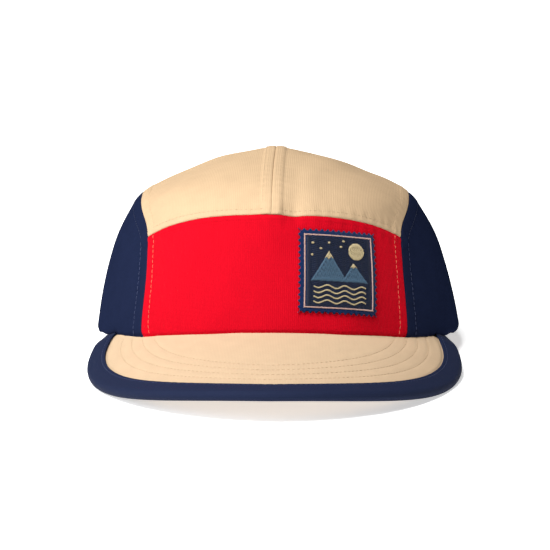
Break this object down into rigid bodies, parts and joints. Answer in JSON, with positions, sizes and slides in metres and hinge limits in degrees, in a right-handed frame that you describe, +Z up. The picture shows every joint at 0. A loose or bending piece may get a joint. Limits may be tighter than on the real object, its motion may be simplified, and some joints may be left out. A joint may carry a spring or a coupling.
{
  "type": "five-panel cap",
  "caption": "Soft low cap with a rounded crown, a short arched brim bound along its edge, a back opening with an adjusting strap and a stitched front patch.",
  "frame": {"origin": "on the surface that the cap rests on, under the middle of its bounding box", "axes": "+Y from the brim to the back of the cap, +X to the right as seen from the front, +Z up"},
  "size_m": [0.173, 0.2668, 0.0934],
  "materials": {
    "red_canvas": "matt woven cotton",
    "tan_canvas": "matt woven cotton",
    "navy_canvas": "matt woven cotton",
    "navy_tape": "matt cotton tape",
    "navy_webbing": "ribbed webbing",
    "dark_plastic": "satin",
    "patch_cloth": "woven badge"
  },
  "bodies": {
    "root": {"front_panel": "red_canvas", "top_panel_right": "tan_canvas", "top_panel_left": "tan_canvas", "side_panel_right": "navy_canvas", "side_panel_left": "navy_canvas", "sweatband": "navy_tape", "brim_top": "tan_canvas", "brim_under": "tan_canvas", "brim_binding": "navy_tape", "back_strap": "navy_webbing", "strap_buckle": "dark_plastic", "patch": "patch_cloth"}
  },
  "joints": []
}
